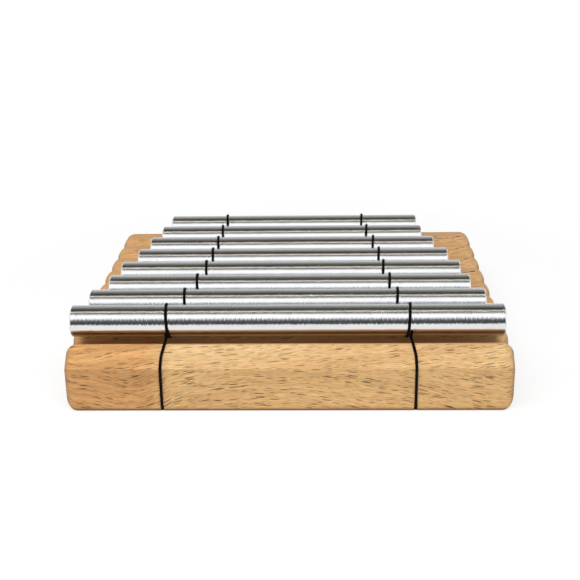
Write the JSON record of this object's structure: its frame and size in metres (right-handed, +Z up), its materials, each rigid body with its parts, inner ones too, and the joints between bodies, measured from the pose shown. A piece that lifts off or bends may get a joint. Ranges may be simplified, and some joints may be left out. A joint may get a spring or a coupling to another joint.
{
  "type": "table chime",
  "caption": "Table chime: parallel solid aluminium rods, longest in front, looped in two elastic cords over a grooved beech block.",
  "frame": {"origin": "under the middle of the block, on the table face", "axes": "+X along the rods, +Y from the longest rod to the shortest, +Z up"},
  "size_m": [0.222, 0.206, 0.0494],
  "materials": {
    "beech": "satin, clear finish over steamed beech",
    "rod_aluminium": "bright turned aluminium with fine turning lines",
    "elastic_cord": "matte black elastic"
  },
  "bodies": {
    "base": {"base_block": "beech", "cord_left": "elastic_cord", "cord_right": "elastic_cord", "knot_left": "elastic_cord", "knot_right": "elastic_cord"},
    "rod_1": {"tone_rod_1": "rod_aluminium"},
    "rod_2": {"tone_rod_2": "rod_aluminium"},
    "rod_3": {"tone_rod_3": "rod_aluminium"},
    "rod_4": {"tone_rod_4": "rod_aluminium"},
    "rod_5": {"tone_rod_5": "rod_aluminium"},
    "rod_6": {"tone_rod_6": "rod_aluminium"},
    "rod_7": {"tone_rod_7": "rod_aluminium"},
    "rod_8": {"tone_rod_8": "rod_aluminium"}
  },
  "joints": [
    {"name": "rod_1_bounce", "type": "slide", "parent": "base", "child": "rod_1", "axis": [0, 0, 1], "range_m": [-0.0015, 0.001], "stiffness_N_per_m": 1500, "springref_m": 0.00076, "deforming": ["cord_left", "cord_right"]},
    {"name": "rod_2_bounce", "type": "slide", "parent": "base", "child": "rod_2", "axis": [0, 0, 1], "range_m": [-0.0015, 0.001], "stiffness_N_per_m": 1500, "springref_m": 0.00072, "deforming": ["cord_left", "cord_right"]},
    {"name": "rod_3_bounce", "type": "slide", "parent": "base", "child": "rod_3", "axis": [0, 0, 1], "range_m": [-0.0015, 0.001], "stiffness_N_per_m": 1500, "springref_m": 0.00068, "deforming": ["cord_left", "cord_right"]},
    {"name": "rod_4_bounce", "type": "slide", "parent": "base", "child": "rod_4", "axis": [0, 0, 1], "range_m": [-0.0015, 0.001], "stiffness_N_per_m": 1500, "springref_m": 0.00066, "deforming": ["cord_left", "cord_right"]},
    {"name": "rod_5_bounce", "type": "slide", "parent": "base", "child": "rod_5", "axis": [0, 0, 1], "range_m": [-0.0015, 0.001], "stiffness_N_per_m": 1500, "springref_m": 0.00063, "deforming": ["cord_left", "cord_right"]},
    {"name": "rod_6_bounce", "type": "slide", "parent": "base", "child": "rod_6", "axis": [0, 0, 1], "range_m": [-0.0015, 0.001], "stiffness_N_per_m": 1500, "springref_m": 0.00059, "deforming": ["cord_left", "cord_right"]},
    {"name": "rod_7_bounce", "type": "slide", "parent": "base", "child": "rod_7", "axis": [0, 0, 1], "range_m": [-0.0015, 0.001], "stiffness_N_per_m": 1500, "springref_m": 0.00056, "deforming": ["cord_left", "cord_right"]},
    {"name": "rod_8_bounce", "type": "slide", "parent": "base", "child": "rod_8", "axis": [0, 0, 1], "range_m": [-0.0015, 0.001], "stiffness_N_per_m": 1500, "springref_m": 0.00054, "deforming": ["cord_left", "cord_right"]}
  ]
}
